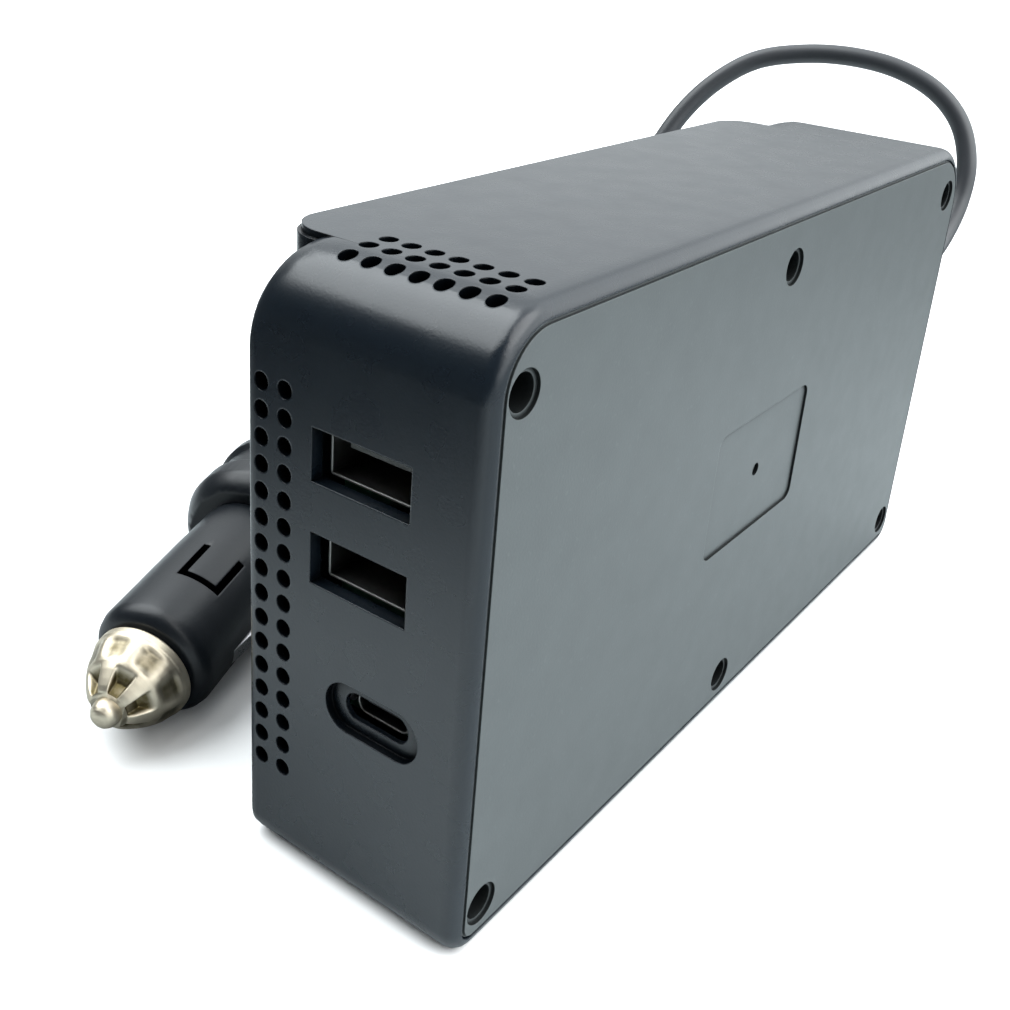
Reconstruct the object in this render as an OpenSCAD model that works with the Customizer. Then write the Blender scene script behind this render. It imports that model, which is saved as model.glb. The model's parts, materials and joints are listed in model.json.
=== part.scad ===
// Power inverter with USB outputs and a vehicle socket plug on a short lead.
// It stands on one narrow side: +Z is up, the length runs along Y with the USB end at -Y,
// the screwed base plate faces +X and the raised deck with the mains outlet faces -X.

/* [Housing] */
// Length of the housing, along Y
body_l = 156; // [150:1:165]
// Width of the housing, which is its height as it stands
body_h = 89; // [86:1:94]
// Thickness from the plain back to the base plate
body_t = 38; // [36:0.5:42]
// How far the deck with the outlet stands proud of the back
deck_rise = 4.2; // [3.6:0.1:6]
// Distance from the USB end to the start of the deck
deck_front = 9.5; // [8:0.5:16]
// Length of the deck
deck_l = 125; // [110:1:128]
// Thickness of the moulded walls
wall = 2.4; // [2:0.1:2.6]
// Corner radius of the outline at the top of the USB end
front_r = 10; // [7:0.5:12]
// Corner radius of the outline at the top of the rear end
rear_r = 13; // [9:0.5:14]
// Corner radius of the outline at both lower corners
foot_r = 4.5; // [4:0.5:6]
// Rounding of the edge round the base plate
rim_r = 2.2; // [1.5:0.1:2.4]

/* [Vents] */
// Diameter of each vent hole
vent_d = 2.5; // [2:0.1:2.8]
// Spacing of the vent holes down the USB end
vent_pitch = 3.77; // [3.4:0.01:3.8]
// Number of vent holes in each column of the USB end
vent_rows = 16; // [10:1:16]

/* [Ports] */
// Width of the cut-out for each USB-A socket
usb_cut_w = 15.8; // [14:0.1:16.5]
// Height of the cut-out for each USB-A socket
usb_cut_h = 7.3; // [6.5:0.1:8]
// Depth of the sockets behind the face
port_recess = 2; // [1:0.1:2.4]
// Width of the recess round the USB-C socket
usb_c_cut_w = 15.6; // [13:0.1:17]

/* [Fan] */
// Side of the square fan frame
fan_w = 30; // [28:1:30]
// Depth of the fan frame
fan_d = 10; // [8:0.5:11]
// Number of blades
fan_blades = 7; // [5:1:9]

/* [Lead and plug] */
// Diameter of the lead
cord_d = 4.6; // [4.2:0.1:5]
// Diameter of the plug's barrel
barrel_d = 21; // [20:0.1:21.5]
// Diameter of the plug's head
head_d = 30; // [29:0.5:31]
// Number of flutes round the nose cap of the plug
cap_flutes = 8; // [6:1:8]

/* [Hidden] */
$fn = 64;
eps = 0.01;

// Planes of the housing
x_base = (body_t + deck_rise)/2;
x_back = x_base - body_t;
x_deck = x_back - deck_rise;
y_front = -body_l/2;
y_rear = body_l/2;
deck_y0 = y_front + deck_front;
deck_y1 = deck_y0 + deck_l;
deck_return = 4;
back_top_r = 6;
back_rear_r = 8;
back_front_r = 1.6;

// Base plate and its six screws
seam = 0.25;
plate_t = 2.4;
rim_w = 2;
tube_d = 6.4;
tube_hole_d = 4.8;
lip_d = 6;
lip_depth = 0.5;
tube_len = 8;
tube_floor = 1.6;
shank_hole_d = 3.4;
screw_d = 2.9;
screw_head_d = 4.3;
screw_head_t = 2;
screw_post_d = 7;
board_post_d = 6;
screw_y = [y_front + 5.8, y_front + 76.5, y_rear - 8];
screw_top = body_h - 9.6;
screw_low = 6.6;
screw_low_shift = [0, -3, 2];
screw_places = [for (i = [0:2]) each [
    [screw_y[i], screw_top],
    [screw_y[i] + screw_low_shift[i], screw_low]]];
x_seat = x_base - tube_len;
label_w = 32;
label_h = 21.5;
label_at = [-2.8, 45.4];
label_depth = 0.4;

// Sockets, given as x and z of their centres
usb_x = 2.7;
usb_upper_z = 65;
usb_lower_z = 50.7;
usb_c_x = 5.8;
usb_c_z = 31;
usb_c_set_in = 2.6;
y_port = y_front + port_recess;
usb_depth = 12;
y_usb_board = y_port + usb_depth;
board_t = 1.6;

// Main board
x_board = 9;
board_y0 = -58;
board_y1 = 58;
board_z0 = 12.5;
board_z1 = 73;
x_inside = x_back + wall;
board_posts = [[-52, 18], [-52, 67.5], [52, 18], [52, 67.5]];

// Deck fittings, given as y and z of their centres
outlet_at = [14, 44];
outlet_size = [36, 34];
outlet_depth = 15;
switch_at = [-47, 44];
switch_size = [21, 15];
indicator_at = [-47, 62];
rocker_rise = 1.4;

// Fan
fan_at = [2.5, 30];
y_fan = y_rear - wall - fan_d;
fan_hole_at = fan_w/2 - 2.7;
fan_hub_d = 12;

// Lead
exit_x = 9;
exit_z = 55;
relief_l = 20;
relief_d = 9.4;

// Plug, drawn along +Y from its tip, rolled about its own axis and laid on the ground
plug_at = [-43.4, -83.6, 8.75];
plug_yaw = 17.6;
plug_pitch = 7.2;
plug_roll = 19;
cap_s = 2.8;
rim_s = 11;
ring_s = rim_s + 1.4;
barrel_s = ring_s + 0.8;
barrel_l = 33;
head_s = barrel_s + barrel_l;
head_l = 18;
boot_s = head_s + head_l + 13;
boot_l = 21;
contact_out = 0.6;
cap_bore_r = 2.7;
cap_rim_r = 8.5;
flute_turn = 31;

// Route of the lead, from the strain relief to the boot of the plug, where it ends square on
route = [
    [9, 98, 55], [9, 107.5, 56], [9, 117, 60], [9, 124, 67], [8, 127.5, 75.5], [4, 129.5, 84],
    [-3, 129.5, 90.5], [-13, 129, 94.5], [-24, 127, 96], [-35, 123.5, 95.5], [-45, 118, 93], [-52, 112, 87.5],
    [-57, 106, 80], [-60, 100, 71], [-62, 94, 60], [-63, 90, 48], [-65, 87, 36], [-69, 85, 25],
    [-76, 84, 15.5], [-85, 83, 8.5], [-96, 84, 4], [-108, 88, 2.5], [-118, 96, 2.5], [-122, 108, 2.5],
    [-118, 120, 2.5], [-108, 128, 2.5], [-95, 129, 2.5], [-84, 123, 2.5], [-78, 112, 2.5], [-77, 99, 2.5],
    [-80, 87, 2.5], [-84, 76, 3.5], [-87, 65, 7.5], [-87.5, 55, 13], [-86, 46, 18], [-83.5, 37, 21.5],
    [-80, 27.5, 22.5], [-76.5, 18, 22]];
cord_sides = 10;

// --- Shared shapes ---

// Rounded outline of the housing in its own plane, each side moved in by its own amount
module outline(front = 0, rear = 0, top = 0, low = 0) {
    y0 = y_front + front;
    y1 = y_rear - rear;
    z0 = low;
    z1 = body_h - top;
    rf = max(front_r - max(min(front, top), 0), 0.5);
    rr = max(rear_r - max(min(rear, top), 0), 0.5);
    rl = max(foot_r - max(min(front, low), 0), 0.5);
    polygon([[y0 + rl, z0], [y1 - rl, z0], [y1, z0 + rl], [y1, z1 - rr], [y1 - rr, z1],
        [y0 + rf, z1], [y0, z1 - rf], [y0, z0 + rl]]);
    translate([y0 + rl, z0 + rl]) circle(rl);
    translate([y1 - rl, z0 + rl]) circle(rl);
    translate([y1 - rr, z1 - rr]) circle(rr);
    translate([y0 + rf, z1 - rf]) circle(rf);
}

// Lays a flat shape in the Y-Z plane at x and gives it a thickness towards +X
module along_x(x, t) {
    translate([x, 0, 0]) rotate([90, 0, 90]) linear_extrude(t) children();
}

// Lays a flat shape in the X-Z plane at y and gives it a thickness towards +Y
module along_y(y, t) {
    translate([0, y + t, 0]) rotate([90, 0, 0]) linear_extrude(t) children();
}

// Rounded rectangle about the origin
module rounded(w, h, r) {
    square([w - 2*r, h], center = true);
    square([w, h - 2*r], center = true);
    for (i = [-1, 1], j = [-1, 1]) translate([i*(w/2 - r), j*(h/2 - r)]) circle(r);
}

// Oblong with round ends about the origin
module oblong(w, h) {
    square([w - h, h], center = true);
    for (i = [-1, 1]) translate([i*(w - h)/2, 0]) circle(h/2);
}

module rod_x(x, y, z, d, l) {
    translate([x, y, z]) rotate([0, 90, 0]) cylinder(d = d, h = l);
}

module rod_y(x, y, z, d, l) {
    translate([x, y, z]) rotate([-90, 0, 0]) cylinder(d = d, h = l);
}

module at_screws() {
    for (p = screw_places) translate([0, p[0], p[1]]) children();
}

// How far a rounded edge of radius r draws in at distance d from the flat it meets
function draw_in(r, d) = d >= r ? 0 : r - sqrt(r*r - (r - d)*(r - d));

// --- Housing ---

module housing_solid() {
    hull() {
        for (d = [0, 0.4, 1, 2, 3.5, 5.5, 8]) along_x(x_back + d, eps)
            outline(draw_in(back_front_r, d), draw_in(back_rear_r, d),
                draw_in(back_top_r, d), draw_in(back_front_r, d), $fn = 48);
        for (d = [0, 0.2, 0.6, 1.2, rim_r]) along_x(x_base - d - eps, eps)
            outline(draw_in(rim_r, d), draw_in(rim_r, d), draw_in(rim_r, d), draw_in(rim_r, d), $fn = 48);
    }
}

// Raised deck: its plan has round corners and its sides run flush with the narrow sides
module deck_plan(inset = 0, r = 6) {
    x1 = x_back + 10;
    y0 = deck_y0 + inset;
    y1 = deck_y1 - inset;
    x0 = x_deck + inset;
    translate([x0, y0 + r]) square([x1 - x0, y1 - y0 - 2*r]);
    translate([x0 + r, y0]) square([x1 - x0 - r, y1 - y0]);
    translate([x0 + r, y0 + r]) circle(r);
    translate([x0 + r, y1 - r]) circle(r);
}

module deck_solid() {
    edge = 1;
    translate([0, 0, edge]) linear_extrude(body_h - 2*edge) deck_plan();
    linear_extrude(edge) deck_plan(0.4);
    translate([0, 0, body_h - edge]) linear_extrude(edge) deck_plan(0.4);
}

module main_cavity() {
    along_x(x_inside, body_t) outline(rim_w, rim_w, rim_w, rim_w);
    translate([x_deck + wall, deck_y0 + wall + deck_return, rim_w])
        cube([deck_rise + eps, deck_l - 2*(wall + deck_return), body_h - 2*rim_w]);
}

module front_vents() {
    for (c = [0, 1], i = [0:vent_rows - 1])
        rod_y(x_back + 3 + 4.07*c, y_front - 1, 43.7 + vent_pitch*((vent_rows - 1)/2 - i),
            vent_d, wall + 3, $fn = 24);
}

module top_vents() {
    for (r = [0:2], i = [0:6])
        translate([x_back + 10.5 + 3.67*i, y_front + 6.9 + 3.6*r, body_h - wall - 4])
            cylinder(d = vent_d, h = wall + 6, $fn = 24);
}

module port_cuts() {
    for (z = [usb_upper_z, usb_lower_z])
        translate([usb_x, 0, z]) along_y(y_front - 1, wall + 2) square([usb_cut_w, usb_cut_h], center = true);
    translate([usb_c_x, 0, usb_c_z]) {
        along_y(y_front - 1, 1 + 1.2) oblong(usb_c_cut_w, 7.4);
        along_y(y_front, wall + 1) oblong(10.6, 4);
    }
}

module deck_cuts() {
    translate([0, outlet_at[0], outlet_at[1]]) along_x(x_deck - 1, wall + 2)
        rounded(outlet_size[0] - 3, outlet_size[1] - 3, 3);
    translate([0, switch_at[0], switch_at[1]]) along_x(x_deck - 1, wall + 2)
        square([switch_size[0] - 2, switch_size[1] - 2], center = true);
    rod_x(x_deck - 1, indicator_at[0], indicator_at[1], 4.2, wall + 2);
}

module rear_cuts() {
    rod_y(exit_x, y_rear - wall - 1, exit_z, 7.4, wall + 2);
    for (i = [-3:3]) translate([fan_at[0] - 11, y_rear - wall - 1, fan_at[1] + 3.6*i - 0.9])
        cube([22, wall + 2, 1.8]);
}

// Where a post at y starts: on the floor of the raised deck, or on the lower floor beside it
function post_foot(y) =
    y > deck_y0 + wall + deck_return && y < deck_y1 - wall - deck_return ? x_deck + wall : x_inside;

module post(p, d, top) {
    foot = post_foot(p[0]) - eps;
    rod_x(foot, p[0], p[1], d, top - foot);
}

module main_shell() {
    color([0.25, 0.27, 0.30]) difference() {
        union() {
            difference() {
                union() {
                    housing_solid();
                    deck_solid();
                }
                main_cavity();
                front_vents();
                top_vents();
                port_cuts();
                deck_cuts();
                rear_cuts();
            }
            for (p = screw_places) post(p, screw_post_d, x_seat - 0.3);
            for (p = board_posts) post(p, board_post_d, x_board);
        }
        for (p = screw_places) rod_x(x_seat - 12, p[0], p[1], screw_d - 0.2, 14);
        for (p = board_posts) rod_x(x_board - 6, p[0], p[1], 2.1, 8);
    }
}

// Flat cover, screwed on from outside through six long recessed tubes
module base_plate() {
    inset = rim_w + seam;
    color([0.40, 0.42, 0.44]) difference() {
        union() {
            along_x(x_base - plate_t, plate_t - 0.3) outline(inset, inset, inset, inset);
            along_x(x_base - 0.3, 0.3) outline(inset + 0.3, inset + 0.3, inset + 0.3, inset + 0.3);
            at_screws() rod_x(x_seat, 0, 0, tube_d, tube_len - 1);
        }
        at_screws() {
            rod_x(x_seat + tube_floor, 0, 0, tube_hole_d, tube_len);
            rod_x(x_seat - 1, 0, 0, shank_hole_d, 4);
            rod_x(x_base - lip_depth, 0, 0, lip_d, 1);
        }
        translate([0, label_at[0], label_at[1]]) along_x(x_base - label_depth, 1) rounded(label_w, label_h, 2);
        rod_x(x_base - 1, label_at[0], label_at[1], 2.2, 2);
    }
}

module screw_x(d, head, head_t, l) {
    difference() {
        union() {
            rod_x(0, 0, 0, head, head_t);
            rod_x(-l, 0, 0, d, l + eps);
        }
        translate([head_t - 0.9, 0, 0]) {
            translate([0.5, 0, 0]) cube([1.2, head*0.62, 0.8], center = true);
            translate([0.5, 0, 0]) cube([1.2, 0.8, head*0.62], center = true);
        }
    }
}

module base_screws() {
    color([0.35, 0.35, 0.36]) at_screws() translate([x_seat + tube_floor, 0, 0])
        screw_x(screw_d - 0.22, screw_head_d, screw_head_t, 11);
}

// --- USB sockets ---

module usb_a_shell(z) {
    color([0.78, 0.78, 0.80]) translate([usb_x, 0, z]) difference() {
        along_y(y_port, usb_depth) rounded(13.1, 5.7, 0.5);
        along_y(y_port - 1, usb_depth) square([12.5, 5.1], center = true);
    }
}

module usb_a_tongue(z) {
    color([0.12, 0.12, 0.13]) translate([usb_x, 0, z]) {
        translate([-5.6, y_port + 2.4, 0.2]) cube([11.2, usb_depth - 3.4, 1.9]);
        translate([-6.2, y_port + usb_depth - 2.2, -2.5]) cube([12.4, 1.2, 5]);
    }
}

module usb_a_shell_upper() { usb_a_shell(usb_upper_z); }
module usb_a_shell_lower() { usb_a_shell(usb_lower_z); }
module usb_a_tongue_upper() { usb_a_tongue(usb_upper_z); }
module usb_a_tongue_lower() { usb_a_tongue(usb_lower_z); }

module usb_a_contacts() {
    color([0.85, 0.68, 0.30]) for (z = [usb_upper_z, usb_lower_z], i = [-3.5, -1.1, 1.1, 3.5])
        translate([usb_x + i - 0.5, y_port + 3.2, z - 0.1]) cube([1, 6.2, 0.3]);
}

module usb_c_shell() {
    color([0.78, 0.78, 0.80]) translate([usb_c_x, 0, usb_c_z]) difference() {
        along_y(y_front + usb_c_set_in, y_usb_board - y_front - usb_c_set_in) oblong(8.94, 3.26);
        along_y(y_front, 9) oblong(8.34, 2.66);
    }
}

module usb_c_tongue() {
    color([0.12, 0.12, 0.13]) translate([usb_c_x - 3.3, y_front + usb_c_set_in + 0.8, usb_c_z - 0.35])
        cube([6.6, 8.2 - usb_c_set_in, 0.7]);
}

module usb_board() {
    color([0.10, 0.32, 0.20]) difference() {
        translate([-12.5, y_usb_board, 18]) cube([28, board_t, 54]);
        for (z = [20.5, 69.5]) rod_y(-9.5, y_usb_board - 1, z, 2.4, 4);
    }
}

module usb_board_screws() {
    color([0.70, 0.70, 0.72]) for (z = [20.5, 69.5]) {
        rod_y(-9.5, y_usb_board + board_t, z, 4, 1.4);
        rod_y(-9.5, y_usb_board - 0.6, z, 2.2, board_t + 0.6 + eps);
    }
}

module usb_chip() {
    color([0.08, 0.08, 0.09]) {
        translate([-4, y_usb_board + board_t, 52]) cube([7, 1.5, 7]);
        translate([2, y_usb_board + board_t, 34]) cube([7, 3, 7]);
    }
}

// --- Main board ---

module main_board() {
    color([0.10, 0.32, 0.20]) difference() {
        translate([x_board, board_y0, board_z0])
            cube([board_t, board_y1 - board_y0, board_z1 - board_z0]);
        for (p = board_posts) rod_x(x_board - 1, p[0], p[1], 2.6, 4);
    }
}

module main_board_screws() {
    color([0.70, 0.70, 0.72]) for (p = board_posts) {
        rod_x(x_board + board_t, p[0], p[1], 4.4, 1.5);
        rod_x(x_board - 5, p[0], p[1], 2, 5 + board_t + eps);
    }
}

module transformer_core() {
    color([0.16, 0.16, 0.17]) translate([x_board - 21, -30, 28]) difference() {
        cube([21, 24, 34]);
        translate([-1, -1, 5]) cube([23, 7, 24]);
        translate([-1, 18, 5]) cube([23, 7, 24]);
    }
}

module transformer_winding() {
    color([0.75, 0.62, 0.18]) for (y = [-33.5, -12]) translate([x_board - 18, y, 33.2])
        cube([15, 9.4, 23.6]);
}

module can_x(y, z, d, l) {
    rod_x(x_board - l, y, z, d, l);
}

module input_capacitors() {
    color([0.13, 0.14, 0.30]) for (z = [22, 34, 46]) can_x(-40, z, 10, 10);
    color([0.13, 0.14, 0.30]) can_x(46, 50, 10, 18);
}

module mains_capacitor() {
    color([0.10, 0.10, 0.12]) can_x(46, 30, 16, 21);
}

// Finned aluminium bar along the upper edge of the board
module heatsink() {
    color([0.72, 0.73, 0.74]) {
        translate([x_board - 20, -44, 63.4]) cube([20, 84, 2.4]);
        for (i = [0:11]) translate([x_board - 20, -44 + i*7.45, 65.8 - eps]) cube([20, 2, 6]);
    }
}

module power_transistors() {
    color([0.08, 0.08, 0.09]) for (i = [0:3]) translate([x_board - 13, -4 + i*11, 58.9])
        cube([9, 8, 4.5]);
}

module choke_core() {
    color([0.75, 0.72, 0.30]) translate([x_board - 7.6, -18, 19.2]) rotate([0, 90, 0])
        rotate_extrude() translate([3.6, 0]) square([2.4, 5]);
}

module choke_winding() {
    color([0.72, 0.38, 0.16]) translate([x_board - 5.1, -18, 19.2]) for (i = [0:7])
        rotate([i*45 + 22.5, 0, 0]) translate([0, 0, 4.8]) rotate([90, 0, 0])
            rotate_extrude($fn = 24) translate([3.3, 0]) circle(0.45, $fn = 16);
}

module board_fuse() {
    color([0.85, 0.45, 0.12]) translate([x_board - 12, 22, 18]) cube([9, 4, 12]);
    color([0.85, 0.45, 0.12]) translate([x_board - 3 - eps, 22.8, 19]) cube([3 + eps, 2.4, 2]);
    color([0.85, 0.45, 0.12]) translate([x_board - 3 - eps, 22.8, 27]) cube([3 + eps, 2.4, 2]);
}

// Two leads from the gland to the board, side by side
module battery_leads() {
    color([0.65, 0.10, 0.10]) for (z = [exit_z - 1.3, exit_z + 1.3])
        rod_y(exit_x + 3.3, 48, z, 2.2, y_rear - wall - 2.6 - 48);
}

// --- Deck fittings ---

// Mains outlet insert with two blade slots and an earth hole
module outlet_insert() {
    color([0.10, 0.10, 0.11]) translate([0, outlet_at[0], outlet_at[1]]) difference() {
        union() {
            along_x(x_deck - 1.2, 1.2) rounded(outlet_size[0], outlet_size[1], 4);
            along_x(x_deck - eps, outlet_depth) rounded(outlet_size[0] - 3.4, outlet_size[1] - 3.4, 2.8);
        }
        for (y = [-6.35, 6.35]) translate([x_deck - 2, y - 1.15, -1]) cube([outlet_depth, 2.3, 9]);
        rod_x(x_deck - 2, 0, -8, 5.4, outlet_depth);
        for (y = [-6.35, 6.35]) translate([x_deck + 4, y - 2.3, -1.6]) cube([outlet_depth, 4.6, 10.2]);
        rod_x(x_deck + 4, 0, -8, 7.6, outlet_depth);
    }
}

module outlet_contacts() {
    color([0.80, 0.62, 0.25]) translate([0, outlet_at[0], outlet_at[1]]) {
        for (y = [-6.35, 6.35], i = [-1, 1]) translate([x_deck + 5, y + i*1.6 - 0.4, -1.3]) cube([9.6, 0.8, 9.6]);
        for (y = [-6.35, 6.35]) translate([x_deck + 14.5, y - 2, -1.3]) cube([0.8, 4, 9.6]);
        difference() {
            rod_x(x_deck + 5, 0, -8, 7.2, 10.3);
            rod_x(x_deck + 4, 0, -8, 5.6, 10.5);
        }
    }
}

module switch_frame() {
    color([0.10, 0.10, 0.11]) translate([0, switch_at[0], switch_at[1]]) difference() {
        union() {
            along_x(x_deck - 1.2, 1.2) square(switch_size, center = true);
            along_x(x_deck - eps, 12) square([switch_size[0] - 2.4, switch_size[1] - 2.4], center = true);
        }
        along_x(x_deck - 2, 10.5) square([switch_size[0] - 5, switch_size[1] - 5], center = true);
        translate([x_deck + 2.2, 0, -switch_size[1]/2]) cylinder(d = 2.1, h = switch_size[1]);
    }
}

// Rocking key on its own pivot pins, resting with its far half down
module power_rocker() {
    color([0.16, 0.16, 0.17]) translate([x_deck + 2.2, switch_at[0], switch_at[1]]) {
        rotate([0, 0, -7]) difference() {
            translate([-rocker_rise - 3.6, -7.3, -4.6]) cube([6.6, 14.6, 9.2]);
            rod_x(-rocker_rise - 4, 4.6, 0, 3, 0.8);
        }
        translate([0, 0, -6.1]) cylinder(d = 2, h = 12.2);
    }
}

module indicator_lens() {
    color([0.30, 0.80, 0.40]) translate([0, indicator_at[0], indicator_at[1]]) {
        rod_x(x_deck - 0.8, 0, 0, 4, wall + 3);
        rod_x(x_deck + wall, 0, 0, 5.4, 1.2);
    }
}

// --- Fan ---

module fan_frame() {
    color([0.08, 0.08, 0.09]) translate([fan_at[0], y_fan, fan_at[1]]) {
        difference() {
            along_y(0, fan_d) rounded(fan_w, fan_w, 2.5);
            rod_y(0, -1, 0, fan_w - 2, fan_d + 2);
            for (i = [-1, 1], j = [-1, 1]) rod_y(i*fan_hole_at, -1, j*fan_hole_at, 2.6, fan_d + 2, $fn = 24);
        }
        intersection() {
            rod_y(0, 0, 0, fan_w - 1, 1.6);
            union() {
                rod_y(0, 0, 0, fan_hub_d, 1.6);
                for (a = [0, 120, 240]) rotate([0, a, 0]) translate([-1, 0, 0]) cube([2, 1.6, fan_w/2]);
            }
        }
        rod_y(0, 1.5, 0, 2, 6);
    }
}

module fan_rotor() {
    color([0.13, 0.13, 0.14]) translate([fan_at[0], y_fan + 2.2, fan_at[1]]) difference() {
        union() {
            rod_y(0, 0, 0, fan_hub_d, 6.8);
            intersection() {
                rod_y(0, 0, 0, fan_w - 3.2, 6.8);
                for (i = [0:fan_blades - 1]) rotate([0, i*360/fan_blades, 0])
                    translate([0, 3.4, 5]) rotate([0, 0, 38]) translate([-4.6, -0.5, 0])
                        cube([9.2, 1, fan_w/2]);
            }
        }
        rod_y(0, -1, 0, 2.1, 7);
    }
}

module fan_screws() {
    color([0.60, 0.60, 0.62]) translate([fan_at[0], y_fan, fan_at[1]])
        for (i = [-1, 1], j = [-1, 1]) {
            rod_y(i*fan_hole_at, -1.4, j*fan_hole_at, 4, 1.4, $fn = 24);
            rod_y(i*fan_hole_at, -eps, j*fan_hole_at, 2.4, fan_d - 0.4, $fn = 24);
        }
}

// --- Lead ---

// Tapered sleeve with a flange inside the wall and grooves that let it bend
module strain_relief() {
    color([0.09, 0.09, 0.10]) translate([exit_x, y_rear, exit_z]) rotate([-90, 0, 0]) {
        rotate_extrude() polygon([[0, -wall - 2.4], [5, -wall - 2.4], [5, -wall - 0.1], [3.6, -wall - 0.1],
            [3.6, 0.1], [relief_d/2, 0.1], [relief_d/2, 3], [3.9, 5], [3.3, relief_l], [0, relief_l]]);
        for (s = [6.5, 9.5, 12.5, 15.5]) translate([0, 0, s])
            rotate_extrude() translate([0, 0]) square([4.25 - s*0.035, 1.6]);
    }
}

// Frame of axes that travels along the lead: a tangent, and two directions across it
function unit(v) = v/norm(v);
function tangent(p, i) = unit(p[min(i + 1, len(p) - 1)] - p[max(i - 1, 0)]);
function turned(side, t) = unit(side - t*(side*t));
function sides(p, i, side) = i == len(p) ? [] :
    let (s = turned(side, tangent(p, i))) concat([s], sides(p, i + 1, s));
function ring(c, t, s, r, n) = [for (k = [0:n - 1]) c + r*(cos(360*k/n)*s + sin(360*k/n)*cross(t, s))];

module power_cord() {
    n = cord_sides;
    path = concat(route, [plug_point(boot_s + boot_l)]);
    m = len(path);
    across = sides(path, 0, [1, 0, 0]);
    heading = [for (i = [0:m - 1]) i == 0 ? [0, 1, 0] : i == m - 1 ? -plug_direction() : tangent(path, i)];
    points = [for (i = [0:m - 1]) each ring(path[i], heading[i], turned(across[i], heading[i]), cord_d/2, n)];
    walls = [for (i = [0:m - 2], k = [0:n - 1])
        [i*n + k, i*n + (k + 1)%n, (i + 1)*n + (k + 1)%n, (i + 1)*n + k]];
    color([0.13, 0.14, 0.15]) polyhedron(points = points,
        faces = concat([[for (k = [n - 1:-1:0]) k]], walls, [[for (k = [0:n - 1]) (m - 1)*n + k]]), convexity = 8);
}

// --- Plug ---

function plug_direction() = [-sin(plug_yaw)*cos(plug_pitch), cos(plug_yaw)*cos(plug_pitch), sin(plug_pitch)];
function plug_point(s) = plug_at + s*plug_direction();

module laid() {
    translate(plug_at) rotate([0, 0, plug_yaw]) rotate([plug_pitch, 0, 0]) rotate([0, plug_roll, 0]) children();
}

// Turned part about the axis of the plug, from [distance along, radius] pairs
module turned_part(profile) {
    rotate([-90, 0, 0]) rotate_extrude() polygon([for (p = profile) [p[1], p[0]]]);
}

module plug_barrel() {
    r = barrel_d/2;
    color([0.27, 0.29, 0.31]) laid() difference() {
        turned_part([[barrel_s, 4.2], [barrel_s, r - 2.3], [barrel_s + 0.3, r - 1.6], [barrel_s + 0.8, r - 0.9],
            [barrel_s + 1.6, r - 0.3], [barrel_s + 2.8, r], [barrel_s + 24, r - 0.2], [head_s, r - 0.5],
            [head_s, 5], [barrel_s + 5, 5], [barrel_s + 5, 4.2]]);
        // slot round three sides of the springy tongue
        translate([-3.9, barrel_s + 11.2, 4]) difference() {
            cube([7.8, 8.6, 8]);
            translate([1.2, 1.2, -1]) cube([5.4, 8.6, 10]);
        }
        // windows for the side contacts
        for (i = [-1, 1]) translate([i*8 - 4, barrel_s + 9, -2.6]) cube([8, 19, 5.2]);
    }
}

module plug_collar() {
    color([0.13, 0.14, 0.15]) laid() turned_part([[ring_s + 0.05, 4.2], [ring_s + 0.05, 7.4],
        [barrel_s - 0.05, 7.4], [barrel_s - 0.05, 4.2]]);
}

module plug_head() {
    r = head_d/2;
    color([0.30, 0.32, 0.34]) laid() turned_part([[head_s + 0.05, 0], [head_s + 0.05, r - 2.6], [head_s + 0.6, r - 1.8],
        [head_s + 1.8, r - 0.8], [head_s + 3.4, r], [head_s + 7, r], [head_s + 8, r - 0.9],
        [head_s + 13, r - 0.9], [head_s + 14, r], [head_s + head_l - 2, r], [head_s + head_l, r - 1.6],
        [head_s + head_l + 7, 9], [boot_s, 6], [boot_s, 0]]);
}

// Nose cap: a rounded cone over a plain rim, with two rows of hollows between its ribs
module plug_cap() {
    color([0.80, 0.76, 0.66]) laid() difference() {
        turned_part([[cap_s, cap_bore_r], [cap_s, 3.6], [cap_s + 0.6, 4.3], [cap_s + 2.6, 5.9],
            [cap_s + 5, 7.4], [cap_s + 7, 8.2], [rim_s, cap_rim_r], [ring_s, cap_rim_r],
            [ring_s, 5.2], [ring_s - 2, 5.2], [ring_s - 2, cap_bore_r]]);
        for (i = [0:cap_flutes - 1]) rotate([0, -flute_turn - i*360/cap_flutes, 0]) {
            // deep hollow near the tip, then a shallow one near the rim
            translate([3.7, cap_s + 1, -0.9]) rotate([0, 0, -22]) cube([3, 3.2, 1.8]);
            translate([7, cap_s + 4.9, -1.7]) rotate([0, 0, -12]) cube([3, 2.6, 3.4]);
        }
    }
}

module plug_tip() {
    color([0.80, 0.76, 0.66]) laid() turned_part([[0, 0], [0.1, 1], [0.5, 1.7], [1.2, 2.2], [2, 2.4],
        [ring_s - 1.6, 2.4], [ring_s - 1.6, 3.8], [ring_s - 0.6, 3.8], [ring_s - 0.6, 0]]);
}

// Coil that pushes the tip out, drawn as separate rings
module plug_spring() {
    color([0.70, 0.70, 0.72]) laid() for (s = [12.5:1.5:20]) rotate([-90, 0, 0]) translate([0, 0, s])
        rotate_extrude($fn = 24) translate([2.9, 0]) circle(0.45, $fn = 12);
}

module plug_fuse() {
    color([0.75, 0.78, 0.80]) laid() rod_y(0, 20.8, 0, 6, 20);
}

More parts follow.
